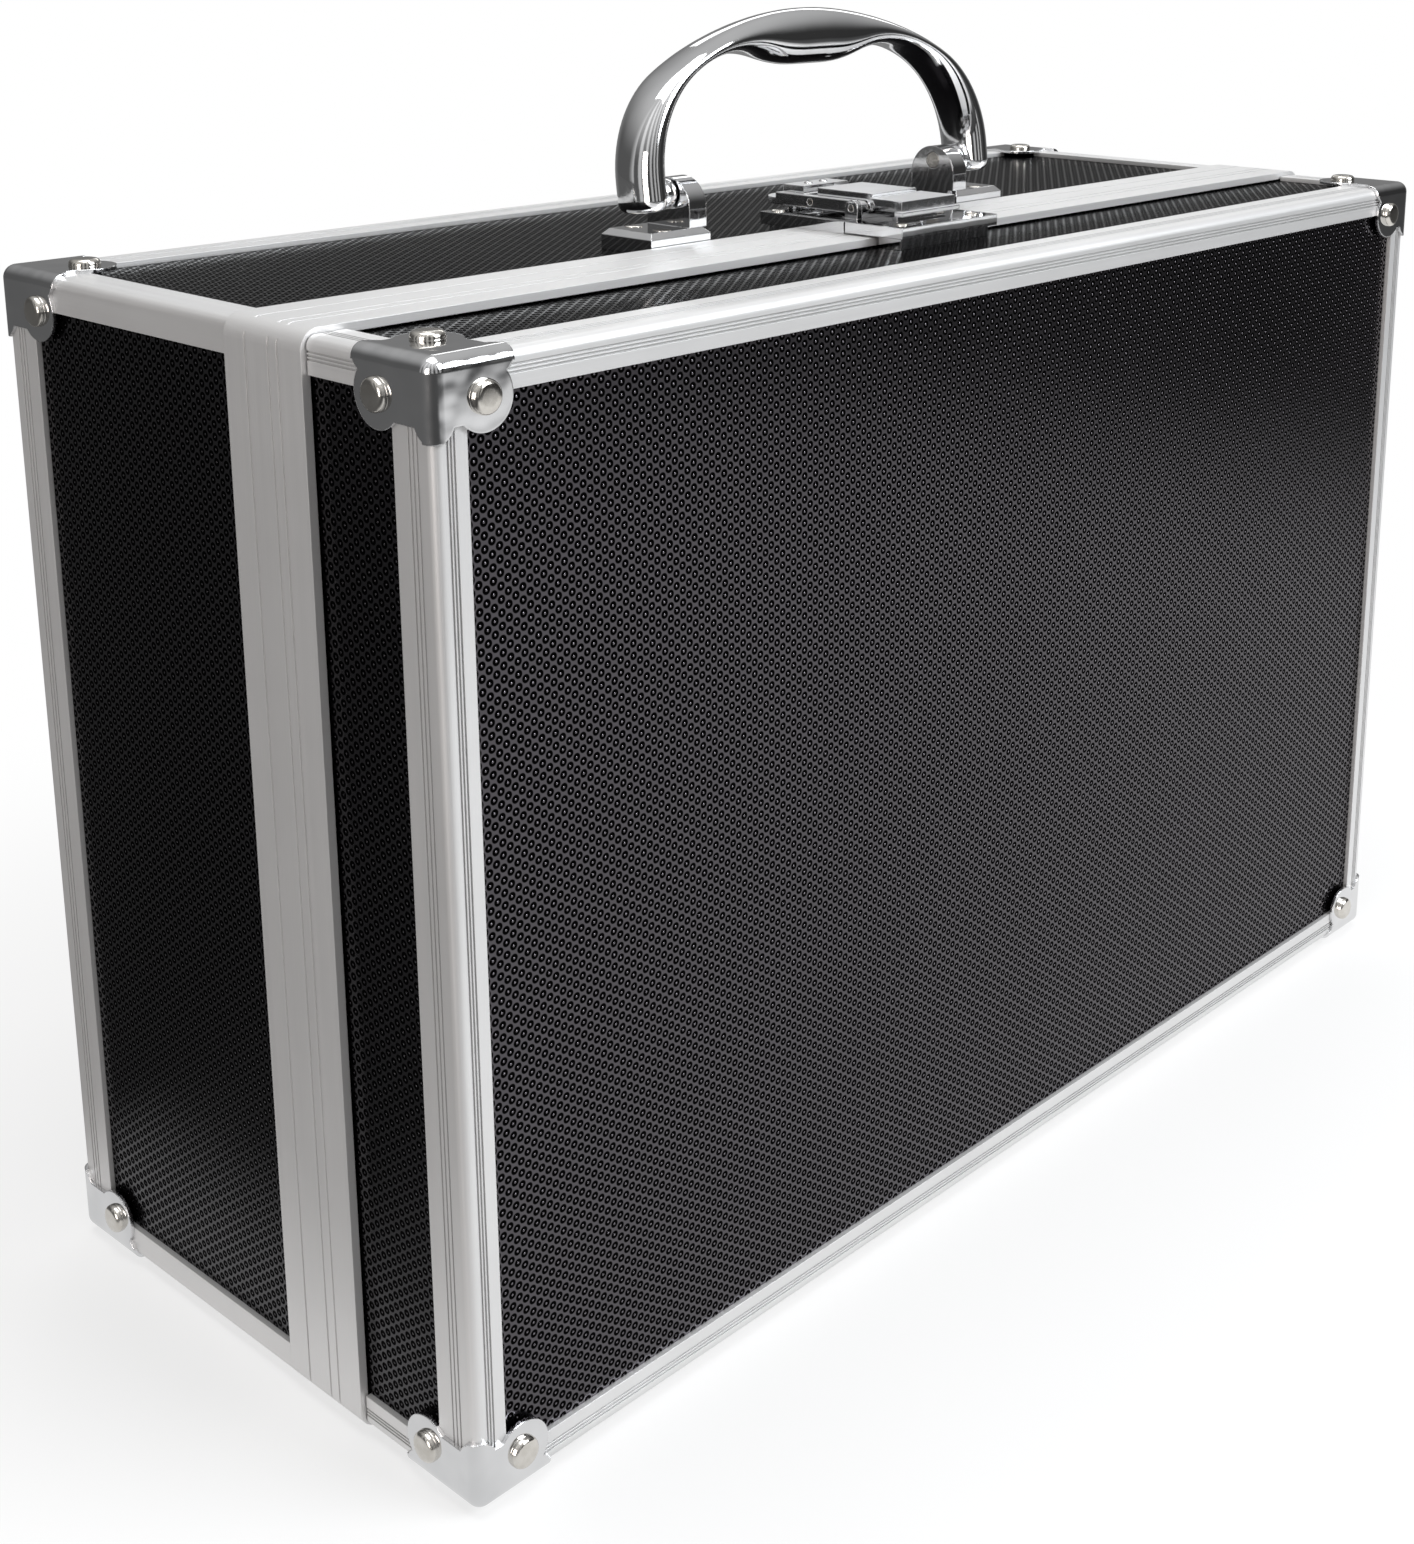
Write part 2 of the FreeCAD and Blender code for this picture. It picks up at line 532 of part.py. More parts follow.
def handle_brackets():
    """Bent brackets: a foot under each handle end and a D-shaped ear on its inner side."""
    pieces, pins, rivets, holes = [], [], [], []
    for right, word in ((1, "right"), (-1, "left")):
        name = f"handle_bracket_{word}"

        def across(near, far):
            return (near, far) if right > 0 else (f"-({far})", f"-({near})")

        ear_y = ("handle_y - ear_deep / 2", "handle_y + ear_deep / 2")
        block = box(name + "_block", across("bracket_inner", "bracket_inner + foot_reach"),
                    ("handle_y - foot_deep / 2", "handle_y + foot_deep / 2"), ("top_panel", "foot_top"))
        foot = chamfer(name + "_foot", block, "foot_chamfer", on_top)
        ear = box(name + "_ear", across("bracket_inner", "bracket_outer"), ear_y,
                  ("foot_top", "top + ear_top - ear_deep / 2"))
        centre = (signed(right, "bracket_inner"), "handle_y", "top + ear_top - ear_deep / 2")
        crown = rod(name + "_crown", centre, (right, 0, 0), "ear_thick", "ear_deep / 2")
        spot = (signed(right, "bracket_inner"), "handle_y", "pivot_z")
        bore = rod(name + "_bore", shift(spot, 0, f"{-right} * overrun"), (right, 0, 0),
                   "ear_thick + 2 * overrun", "pivot_radius + fit_clear")
        pins.append(rod(name + "_pin", spot, (right, 0, 0), "handle_half - pin_blind - (bracket_inner)",
                        "pivot_radius"))
        foot_holes = []
        for step in (-1, 1):
            seat = (signed(right, "bracket_inner + foot_rivet_out"),
                    f"handle_y + {step} * foot_rivet_pitch / 2", "foot_top")
            piece, hole = rivet(f"{name}_rivet_{'rear' if step > 0 else 'front'}", seat, 2, 1,
                                "foot_thick + panel_thick", "small_head", "flush_rise", "small_shank")
            rivets.append(piece)
            foot_holes.append(hole)
        pieces.append(cut(name, fuse(name + "_bent", [foot, ear, crown]), [bore] + foot_holes))
        holes += foot_holes
    base.holes["top"] += holes
    return pieces + [group("handle_pivot_pins", pins), group("handle_bracket_rivets", rivets)]


def both_sides(near, far):
    """The same stretch of X on the right and on the left."""
    return ((near, far), (f"-({far})", f"-({near})"))


def latch_base():
    """The plate on the base with the lever's two ears, its pivot pins and rivets."""
    wide = ("-latch_half", "latch_half")
    inset = ("seat_inset - latch_half", "latch_half - seat_inset")
    blocks = [box("latch_plate_top", wide, ("joint_y", "latch_back"), ("plate_low", "plate_top")),
              box("latch_plate_seat", inset, ("band_rear", "latch_back - seat_inset"),
                  ("top_panel", "plate_low"))]
    ear_in = "lever_half + latch_side_gap"
    ear_out = f"{ear_in} + latch_ear_thick"
    bores, pins, rivets, holes = [], [], [], []
    for right, word in ((1, "right"), (-1, "left")):
        near, far = (ear_in, ear_out) if right > 0 else (f"-({ear_out})", f"-({ear_in})")
        blocks.append(box(f"latch_ear_{word}", (near, far), ("latch_y - latch_ear", "latch_y + latch_ear"),
                          ("plate_top", "latch_z")))
        blocks.append(rod(f"latch_ear_round_{word}", (near, "latch_y", "latch_z"), (1, 0, 0),
                          "latch_ear_thick", "latch_ear"))
        bores.append(rod(f"latch_bore_{word}", (f"{near} - overrun", "latch_y", "latch_z"), (1, 0, 0),
                         "latch_ear_thick + 2 * overrun", "latch_pin + fit_clear"))
        pins.append(rod(f"latch_pin_{word}", (signed(right, "lever_slot"), "latch_y", "latch_z"),
                        (right, 0, 0), f"{ear_out} - lever_slot", "latch_pin"))
        seat = (signed(right, "latch_rivet_x"), "latch_back - latch_rivet_set", "plate_top")
        piece, hole = rivet(f"latch_rivet_{word}", seat, 2, 1, "latch_plate_rise + (wall)",
                            "latch_rivet_head", "latch_rivet_rise", "small_shank")
        rivets.append(piece)
        holes.append(hole)
    base.holes["top"] += holes
    plate = cut("latch_base_plate", fuse("latch_plate", blocks), bores + holes)
    return [plate, group("latch_pivot_pins", pins), group("latch_base_rivets", rivets)]


def latch_lever():
    """A slotted lever: two rails from the pivot, a rear pad and a round thumb tab."""
    heights = ("latch_z - lever_nose", "latch_z + lever_nose")
    blocks, bores = [], []
    for number, (near, far) in enumerate(both_sides("lever_slot", "lever_half")):
        blocks.append(box(f"lever_rail_{number}", (near, far), ("latch_y", "pad_front"), heights))
        blocks.append(rod(f"lever_nose_{number}", (near, "latch_y", "latch_z"), (1, 0, 0),
                          "lever_half - lever_slot", "lever_nose"))
    blocks.append(box("lever_pad", ("-lever_half", "lever_half"), ("pad_front", "pad_rear"), heights))
    blocks.append(box("lever_cap", ("-hook_half", "hook_half"), ("hook_y + lever_cap_set", "pad_rear"),
                      ("latch_z", "hook_high")))
    blocks.append(box("lever_neck", ("-tab_round", "tab_round"), ("pad_rear", "tab_y"),
                      ("tab_top - tab_thick", "tab_top")))
    blocks.append(rod("lever_tab", ("0", "tab_y", "tab_top"), (0, 0, -1), "tab_thick", "tab_round"))
    for tag, place in (("pivot", "latch_y"), ("hook", "hook_y")):
        bores.append(rod(f"lever_bore_{tag}", ("-lever_half - overrun", place, "latch_z"), (1, 0, 0),
                         "2 * (lever_half + overrun)", "latch_pin + fit_clear"))
    pin = rod("latch_hook_pin", ("-lever_half", "hook_y", "latch_z"), (1, 0, 0), "2 * lever_half",
              "latch_pin")
    return [cut("latch_lever", fuse("lever_blank", blocks), bores), pin]


def latch_hook():
    """The link in the lever's slot: an eye on its pin, a thick arm, a wider head and a lipped nose."""
    wide = ("-hook_half", "hook_half")
    head = ("-hook_head_half", "hook_head_half")
    lip = ("-hook_lip_half", "hook_lip_half")
    blocks = [
        rod("hook_eye", ("-hook_half", "hook_y", "latch_z"), (1, 0, 0), "2 * hook_half", "hook_eye"),
        box("hook_arm", wide, ("head_rear", "hook_y"), ("hook_low", "hook_high")),
        box("hook_head_plate", head, ("head_front", "head_rear"), ("head_low", "latch_z + hook_head_high")),
        box("hook_nose", head, ("head_front", "head_front + hook_wall"), ("lip_low", "head_low")),
        box("hook_nose_lip", lip, ("head_front - hook_lip", "head_front + hook_wall"),
            ("lip_low", "lip_low + hook_lip_thick")),
    ]
    bore = rod("hook_bore", ("-hook_half - overrun", "hook_y", "latch_z"), (1, 0, 0),
               "2 * (hook_half + overrun)", "latch_pin + fit_clear")
    return cut("latch_hook", fuse("hook_blank", blocks), [bore])


def latch_striker():
    """The plate on the lid: it stands on an inset seat, reaches over the lip and has a low catch."""
    wide = ("-latch_half", "latch_half")
    inset = ("seat_inset - latch_half", "latch_half - seat_inset")
    catch = "head_front + hook_wall + catch_gap"
    blocks = [
        box("striker_plate", wide, ("striker_front", "joint_y - seam_gap"), ("striker_low", "striker_top")),
        box("striker_seat", inset, ("striker_front + seat_inset", "band_front - striker_step"),
            ("lid_top - leg_thick", "striker_low")),
        box("striker_catch", ("-catch_half", "catch_half"), (catch, f"{catch} + catch_thick"),
            ("striker_top", "striker_top + catch_rise")),
    ]
    rivets, holes = [], []
    for right, word in ((1, "right"), (-1, "left")):
        seat = (signed(right, "striker_rivet_x"), "striker_front + striker_rivet_set", "striker_top")
        piece, hole = rivet(f"striker_rivet_{word}", seat, 2, 1, "striker_rise + lid_inset + (wall)",
                            "latch_rivet_head", "latch_rivet_rise", "small_shank")
        rivets.append(piece)
        holes.append(hole)
    lid.holes["top"] += holes
    return [cut("latch_striker", fuse("striker_blank", blocks), holes), group("latch_striker_rivets", rivets)]


def hinges():
    """Two butt hinges: base leaves under the band, lid leaves under the lid, pins through their knuckles."""
    leaves = {"base": [], "lid": []}
    rivets = {"base": [], "lid": []}
    band_holes, pins = [], []
    for right, word in ((1, "right"), (-1, "left")):
        middle = signed(right, "hinge_x")
        end, mid = "hinge_length / 2", "knuckle_mid / 2"
        runs = {"lid": [(f"{middle} - {mid}", f"{middle} + {mid}")],
                "base": [(f"{middle} - {end}", f"{middle} - {mid} - knuckle_gap"),
                         (f"{middle} + {mid} + knuckle_gap", f"{middle} + {end}")]}
        clear = "knuckle_radius + knuckle_gap"
        plates = {
            "base": (f"hinge_y + {clear}", f"hinge_y + {clear} + base_leaf", "band_low - leaf_thick",
                     "band_low"),
            "lid": (f"hinge_y - ({clear}) - lid_leaf", f"hinge_y - ({clear})", "lid_panel_low - leaf_thick",
                    "lid_panel_low"),
        }
        spots = {"base": (f"hinge_y + {clear} + base_leaf - base_hinge_rivet", "band_thick + panel_thick"),
                 "lid": (f"hinge_y - ({clear}) - lid_leaf + lid_hinge_rivet", "panel_thick")}
        for half in (base, lid):
            name = f"{half.name}_leaf_{word}"
            rear, far, under, over = plates[half.name]
            blocks = [box(name + "_plate", (f"{middle} - {end}", f"{middle} + {end}"), (rear, far),
                          (under, over))]
            bridge = ("hinge_y", rear) if half is base else (far, "hinge_y")
            for number, (x_from, x_to) in enumerate(runs[half.name]):
                blocks.append(box(f"{name}_bridge_{number}", (x_from, x_to), bridge, (under, over)))
                blocks.append(rod(f"{name}_knuckle_{number}", (x_from, "hinge_y", "hinge_z"), (1, 0, 0),
                                  f"({x_to}) - ({x_from})", "knuckle_radius"))
            holes = [rod(name + "_bore", (f"{middle} - {end} - overrun", "hinge_y", "hinge_z"), (1, 0, 0),
                         "hinge_length + 2 * overrun", "hinge_pin + fit_clear")]
            place, wall = spots[half.name]
            for step in (-1, 1):
                seat = (f"{middle} + {step} * hinge_rivet_pitch / 2", place, under)
                piece, hole = rivet(f"{name}_rivet_{'right' if step > 0 else 'left'}", seat, 2, -1,
                                    f"leaf_thick + {wall}", "small_head", "hinge_rivet_rise", "small_shank")
                rivets[half.name].append(piece)
                holes.append(hole)
                half.holes["bottom"].append(hole)
                if half is base:
                    band_holes.append(hole)
            leaves[half.name].append(cut(name, fuse(name + "_blank", blocks), holes))
        pins.append(rod(f"hinge_pin_{word}", (f"{middle} - {end}", "hinge_y", "hinge_z"), (1, 0, 0),
                        "hinge_length", "hinge_pin"))
    pieces = [group(half + "_hinge_leaves", leaves[half]) for half in ("base", "lid")]
    pieces += [group(half + "_hinge_rivets", rivets[half]) for half in ("base", "lid")]
    return pieces + [group("hinge_pins", pins)], band_holes


def assemble():
    pieces = [corner_rivets(base), corner_rivets(lid)]
    pieces += handle_brackets()
    pieces += latch_base()
    pieces += latch_striker()
    hinge_pieces, band_holes = hinges()
    pieces += hinge_pieces
    pieces += panels(base, "seam_base") + panels(lid, "seam_lid")
    pieces += edge_profiles(base) + edge_profiles(lid)
    pieces += depth_profiles(base, "band_rear", False)
    pieces += depth_profiles(lid, "band_front - lip_gap", True)
    pieces += protectors(base) + protectors(lid)
    pieces += [base_closing_frame(band_holes), lid_closing_frame()]
    pieces += [lining(base, "seam + band_inner_length"), lining(lid, "seam_lid - tongue_seat")]
    pieces += [handle(), latch_hook()]
    return pieces + latch_lever()


def export(pieces):
    """Checks every object and piece, then writes one file per piece."""
    doc.recompute()
    for item in doc.Objects:
        if {"Invalid", "Error"} & set(item.State):
            raise RuntimeError(f"{item.Label} failed: {item.State}")
    for piece in pieces:
        if piece.Shape.isNull() or not piece.Shape.isValid() or not piece.Shape.Solids:
            raise RuntimeError(f"{piece.Label} has no valid solid")
    os.makedirs("parts", exist_ok=True)
    for piece in pieces:
        piece.Shape.exportStep(f"parts/{piece.Label}.step")


fill_sheet()
nodes = assemble()
export(nodes)
print(len(nodes), "pieces")
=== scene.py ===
import math

import bpy
from mathutils import Matrix, Vector


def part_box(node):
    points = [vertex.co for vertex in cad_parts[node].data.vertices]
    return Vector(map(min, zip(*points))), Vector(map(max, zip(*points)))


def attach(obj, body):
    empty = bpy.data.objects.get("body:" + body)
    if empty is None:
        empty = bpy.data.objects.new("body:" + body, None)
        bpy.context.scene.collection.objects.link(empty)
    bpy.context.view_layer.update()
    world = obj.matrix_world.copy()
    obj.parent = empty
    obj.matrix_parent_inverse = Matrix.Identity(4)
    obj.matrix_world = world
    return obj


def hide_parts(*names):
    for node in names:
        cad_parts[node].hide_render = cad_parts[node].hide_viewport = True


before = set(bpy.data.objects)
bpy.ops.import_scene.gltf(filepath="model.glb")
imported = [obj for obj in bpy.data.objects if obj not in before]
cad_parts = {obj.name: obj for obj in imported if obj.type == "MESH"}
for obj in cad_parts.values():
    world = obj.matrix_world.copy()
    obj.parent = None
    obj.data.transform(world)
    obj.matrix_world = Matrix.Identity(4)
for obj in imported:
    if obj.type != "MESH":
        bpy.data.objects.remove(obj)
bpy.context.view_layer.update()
scene = bpy.context.scene
MM = 0.001


# Node helpers

def add(tree, kind, values=None, **settings):
    """A node with settings on it and values on its input sockets."""
    node = tree.nodes.new(kind)
    for key, value in settings.items():
        setattr(node, key, value)
    for key, value in (values or {}).items():
        if isinstance(value, bpy.types.NodeSocket):
            tree.links.new(value, node.inputs[key])
        else:
            node.inputs[key].default_value = value
    return node


def maths(tree, operation, first, second=0.0, third=0.0):
    values = {0: first, 1: second, 2: third}
    return add(tree, "ShaderNodeMath", values, operation=operation).outputs[0]


def spread(tree, factor, low, high, out_low, out_high):
    """Factor carried smoothly from one range to another."""
    values = {"Value": factor, "From Min": low, "From Max": high, "To Min": out_low, "To Max": out_high}
    return add(tree, "ShaderNodeMapRange", values, interpolation_type="SMOOTHSTEP").outputs[0]


def ramp(tree, factor, stops):
    """A colour ramp of (place, colour) stops."""
    node = add(tree, "ShaderNodeValToRGB", {"Fac": factor})
    band = node.color_ramp
    while len(band.elements) < len(stops):
        band.elements.new(1.0)
    for element, (place, colour) in zip(band.elements, stops):
        element.position = place
        element.color = (*colour, 1.0)
    return node.outputs["Color"]


def place(tree, scale=(1.0, 1.0, 1.0)):
    """The point in the frame in millimetres, stretched by scale."""
    where = add(tree, "ShaderNodeTexCoord").outputs["Object"]
    stretched = add(tree, "ShaderNodeMapping", {"Vector": where, "Scale": [s / MM for s in scale]})
    return stretched.outputs[0]


def noise(tree, where, scale, detail=3.0, roughness=0.55):
    values = {"Vector": where, "Scale": scale, "Detail": detail, "Roughness": roughness}
    return add(tree, "ShaderNodeTexNoise", values).outputs["Fac"]


def bump(tree, height, distance, strength=1.0, normal=None):
    values = {"Height": height, "Distance": distance * MM, "Strength": strength}
    if normal is not None:
        values["Normal"] = normal
    return add(tree, "ShaderNodeBump", values).outputs["Normal"]


def painted_gap_shade(tree, reach=1.6, dark=0.3):
    """Painted shade: near one in the open, lower in the narrow gaps between pieces, found by ambient occlusion.
    """
    values = {"Distance": reach * MM}
    open_share = add(tree, "ShaderNodeAmbientOcclusion", values, samples=4).outputs["AO"]
    return spread(tree, open_share, 0.3, 0.85, dark, 1.0)


def tinted(tree, colour, shade):
    """A colour made darker by a factor."""
    return add(tree, "ShaderNodeVectorMath", {0: colour, "Scale": shade}, operation="SCALE").outputs["Vector"]


def blank(name, **sockets):
    """A new material, its tree and its principled shader with fixed values set."""
    material = bpy.data.materials.new(name)
    material.use_nodes = True
    tree = material.node_tree
    shader = tree.nodes["Principled BSDF"]
    for key, value in sockets.items():
        shader.inputs[key.replace("_", " ")].default_value = value
    return material, tree, shader


# Black panels with a lattice of small beads in staggered columns

DOT_COLUMN = 1.61
DOT_PITCH = 2.42
DOT_RADIUS = 0.96
BEAD_RADIUS = 0.28
BEAD_RISE = 0.12
BEAD_GLINT = 2.6
RING_EDGE = 0.78
RING_ROUGHNESS = 0.55
FILM_TINT = (0.97, 0.9, 1.0, 1.0)


def dotted_panel(name, across, along, facing_light_shine):
    """Gloss black film embossed with small beads, each in a matt ring, in the plane of two axes."""
    material, tree, shader = blank(name, IOR=1.5, Specular_Tint=FILM_TINT)
    where = place(tree)
    parts = add(tree, "ShaderNodeSeparateXYZ", {0: where}).outputs
    column = maths(tree, "PINGPONG", parts[across], DOT_COLUMN)
    row = maths(tree, "PINGPONG", parts[along], DOT_PITCH / 2)
    other_column = maths(tree, "SUBTRACT", DOT_COLUMN, column)
    other_row = maths(tree, "SUBTRACT", DOT_PITCH / 2, row)

    def squared(a, b):
        return maths(tree, "MULTIPLY_ADD", a, a, maths(tree, "MULTIPLY", b, b))

    near = maths(tree, "MINIMUM", squared(column, row), squared(other_column, other_row))
    distance = maths(tree, "SQRT", near)
    bead = spread(tree, distance, 0.0, BEAD_RADIUS, 1.0, 0.0)
    crown = spread(tree, distance, 0.5 * BEAD_RADIUS, BEAD_RADIUS, BEAD_GLINT, 0.0)
    land = spread(tree, distance, RING_EDGE * DOT_RADIUS, DOT_RADIUS, 0.0, 1.0)
    cloud = noise(tree, where, 0.02, 2.0)
    grain = noise(tree, where, 1.6, 2.0)
    worn = maths(tree, "MULTIPLY_ADD", cloud, 0.5, maths(tree, "MULTIPLY", grain, 0.5))
    film = ramp(tree, worn, [(0.3, (0.0018, 0.0017, 0.002)), (0.7, (0.0034, 0.0032, 0.0037))])
    # The film is darker in the beads' rings, and painted shade darkens it in the narrow gaps between pieces.
    shade = maths(tree, "MULTIPLY", spread(tree, land, 0.0, 1.0, 0.1, 1.0), painted_gap_shade(tree))
    tree.links.new(tinted(tree, film, shade), shader.inputs["Base Color"])
    gloss = spread(tree, worn, 0.3, 0.7, 0.14, 0.22)
    polish = maths(tree, "MAXIMUM", land, crown)
    smoother = maths(tree, "MULTIPLY", maths(tree, "MINIMUM", polish, 1.0), RING_ROUGHNESS)
    rough = maths(tree, "SUBTRACT", RING_ROUGHNESS, smoother)
    tree.links.new(maths(tree, "MAXIMUM", rough, gloss), shader.inputs["Roughness"])
    # Painted light: the shine of each facing copy is set to how the light falls on that face.
    shown = maths(tree, "MULTIPLY_ADD", polish, facing_light_shine, 0.01)
    tree.links.new(shown, shader.inputs["Specular IOR Level"])
    height = maths(tree, "MULTIPLY_ADD", grain, 0.06, bead)
    tree.links.new(bump(tree, height, BEAD_RISE), shader.inputs["Normal"])
    return material


# Metals

def edged(tree, radius):
    """A normal that rounds sharp edges a little."""
    return add(tree, "ShaderNodeBevel", {"Radius": radius * MM}, samples=4).outputs[0]


def anodised(name, grain_scale, dark, mask=None, other_scale=None):
    """Satin anodised aluminium with fine drawing lines along its length, and painted shade in the narrow gaps.
    """
    material, tree, shader = blank(name, Metallic=0.6)
    lines = noise(tree, place(tree, grain_scale), 1.0, 3.0)
    if other_scale:
        second = noise(tree, place(tree, other_scale), 1.0, 3.0)
        parts = add(tree, "ShaderNodeSeparateXYZ", {0: place(tree)}).outputs
        side = maths(tree, "GREATER_THAN", maths(tree, "ABSOLUTE", parts[0]), mask)
        mixed = add(tree, "ShaderNodeMix", {"Factor": side, "A": lines, "B": second}, data_type="FLOAT")
        lines = mixed.outputs["Result"]
    cloud = noise(tree, place(tree), 0.03, 3.0)
    tone = maths(tree, "MULTIPLY_ADD", lines, 0.35, maths(tree, "MULTIPLY", cloud, 0.65))
    colour = ramp(tree, tone, [(0.3, (0.79, 0.787, 0.785)), (0.7, (0.87, 0.868, 0.867))])
    # Painted shade darkens the colour in the narrow gaps between pieces.
    tree.links.new(tinted(tree, colour, painted_gap_shade(tree, 1.2, dark)), shader.inputs["Base Color"])
    tree.links.new(spread(tree, lines, 0.25, 0.75, 0.38, 0.52), shader.inputs["Roughness"])
    tree.links.new(bump(tree, lines, 0.012, 0.6, edged(tree, 0.25)), shader.inputs["Normal"])
    return material


def chromed(name, low, high, wave, radius=0.3, size=0.06, top=0.0):
    """Bright plating: nearly a mirror, faintly wavy, finely worn and duller on tops that are rubbed."""
    material, tree, shader = blank(name, Metallic=1.0)
    where = place(tree)
    cloud = noise(tree, where, size, 2.0)
    wear = noise(tree, where, 0.9, 4.0, 0.65)
    colour = ramp(tree, cloud, [(0.3, (0.76, 0.765, 0.775)), (0.7, (0.85, 0.852, 0.86))])
    tree.links.new(colour, shader.inputs["Base Color"])
    rough = spread(tree, wear, 0.35, 0.8, low, high)
    if top:
        normal = add(tree, "ShaderNodeTexCoord").outputs["Normal"]
        upward = add(tree, "ShaderNodeSeparateXYZ", {0: normal}).outputs[2]
        rough = maths(tree, "ADD", rough, spread(tree, upward, 0.6, 0.95, 0.0, top))
    tree.links.new(rough, shader.inputs["Roughness"])
    tree.links.new(bump(tree, cloud, wave, 1.0, edged(tree, radius)), shader.inputs["Normal"])
    return material


def nickel():
    """Warm plated rivets and pins with turned rings too fine to count."""
    material, tree, shader = blank("nickel", Metallic=1.0)
    where = place(tree)
    cloud = noise(tree, where, 0.35, 2.0)
    wear = noise(tree, where, 2.5, 3.0)
    colour = ramp(tree, cloud, [(0.3, (0.66, 0.63, 0.58)), (0.7, (0.78, 0.755, 0.71))])
    tree.links.new(colour, shader.inputs["Base Color"])
    tree.links.new(spread(tree, wear, 0.3, 0.7, 0.09, 0.17), shader.inputs["Roughness"])
    tree.links.new(bump(tree, wear, 0.006, 0.5, edged(tree, 0.25)), shader.inputs["Normal"])
    return material


def plated_steel():
    """Bright zinc on the hinge leaves, with faint flowery clouding."""
    material, tree, shader = blank("plated_steel", Metallic=1.0)
    where = place(tree)
    cells = add(tree, "ShaderNodeTexVoronoi", {"Vector": where, "Scale": 0.25}).outputs["Color"]
    shade = add(tree, "ShaderNodeSeparateColor", {0: cells}).outputs[0]
    wear = noise(tree, where, 0.8, 4.0)
    colour = ramp(tree, shade, [(0.0, (0.58, 0.585, 0.6)), (1.0, (0.7, 0.7, 0.705))])
    tree.links.new(colour, shader.inputs["Base Color"])
    tree.links.new(spread(tree, wear, 0.3, 0.7, 0.24, 0.42), shader.inputs["Roughness"])
    tree.links.new(bump(tree, wear, 0.01, 0.5, edged(tree, 0.2)), shader.inputs["Normal"])
    return material


def lining():
    """Dark velour: a soft pile with brushed lights and shades."""
    material, tree, shader = blank("dark_lining", Sheen_Weight=0.35, Sheen_Roughness=0.4)
    where = place(tree)
    pile = noise(tree, where, 2.6, 3.0, 0.7)
    brushed = noise(tree, place(tree, (0.02, 0.03, 0.012)), 1.0, 2.0)
    tone = maths(tree, "MULTIPLY_ADD", pile, 0.5, maths(tree, "MULTIPLY", brushed, 0.5))
    colour = ramp(tree, tone, [(0.25, (0.016, 0.016, 0.018)), (0.75, (0.055, 0.055, 0.06))])
    tree.links.new(colour, shader.inputs["Base Color"])
    tree.links.new(spread(tree, pile, 0.2, 0.8, 0.8, 0.98), shader.inputs["Roughness"])
    tree.links.new(bump(tree, pile, 0.25), shader.inputs["Normal"])
    return material


# Painted light: one film in three copies whose shine is set to how light falls on each facing, most in front
# and least on top.
PANELS = {
    "front": dotted_panel("panel_facing_front", 0, 2, 1.1),
    "side": dotted_panel("panel_facing_side", 1, 2, 0.48),
    "top": dotted_panel("panel_facing_top", 0, 1, 0.1),
}
# The third number sets how dark the painted shade in the gaps gets.
ALUMINIUM = {
    "x": anodised("aluminium_along_x", (0.01, 6.0, 6.0), 0.6),
    "y": anodised("aluminium_along_y", (6.0, 0.01, 6.0), 0.7),
    "z": anodised("aluminium_along_z", (6.0, 6.0, 0.01), 0.7),
    "frame": anodised("aluminium_frame", (0.01, 6.0, 6.0), 0.85, 158.0, (6.0, 6.0, 0.01)),
}
CHROME = chromed("chrome", 0.03, 0.1, 0.12)
SATIN = chromed("chrome_satin", 0.06, 0.12, 0.1, 0.35, 0.06, 0.42)
PRESSED = chromed("chrome_pressed", 0.04, 0.1, 0.3, 0.4, 0.09)
NICKEL = nickel()
PLATED = plated_steel()
LINING = lining()


def finish_of(name):
    """The material of a CAD node, by its name."""
    if name.endswith("_panel"):
        facing = name.split("_")[1]
        return PANELS[{"front": "front", "back": "front", "left": "side", "right": "side"}.get(facing, "top")]
    if name.endswith("_lining"):
        return LINING
    if "closing_frame" in name:
        return ALUMINIUM["frame"]
    if "depth_profile" in name:
        return ALUMINIUM["y"]
    if name.endswith("_profile"):
        return ALUMINIUM["z" if "_left_" in name or "_right_" in name else "x"]
    if "rivets" in name or name.endswith(("_pins", "_pin")):
        return NICKEL
    if "hinge_leaves" in name:
        return PLATED
    if name in ("latch_hook", "latch_lever"):
        return SATIN
    return PRESSED if "protector" in name else CHROME


for name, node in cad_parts.items():
    node.data.materials.clear()
    node.data.materials.append(finish_of(name))


# Pieces made here

def piece_from(name, points, faces, material, body, replaced=()):
    """A smooth mesh piece in millimetres that rides on a body."""
    mesh = bpy.data.meshes.new(name)
    mesh.from_pydata([Vector(p) * MM for p in points], [], faces)
    mesh.materials.append(material)
    mesh.polygons.foreach_set("use_smooth", [True] * len(mesh.polygons))
    item = bpy.data.objects.new(name, mesh)
    scene.collection.objects.link(item)
    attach(item, body)
    if replaced:
        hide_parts(*replaced)


def loft(rings):
    """Points and faces through closed rings of equal count, with both ends capped."""
    count = len(rings[0])
    points = [p for ring in rings for p in ring]
    faces = []
    for i in range(len(rings) - 1):
        for j in range(count):
            k = (j + 1) % count
            faces.append((i * count + j, i * count + k, (i + 1) * count + k, (i + 1) * count + j))
    last = (len(rings) - 1) * count
    faces.append(tuple(reversed(range(count))))
    faces.append(tuple(range(last, last + count)))
    return points, faces


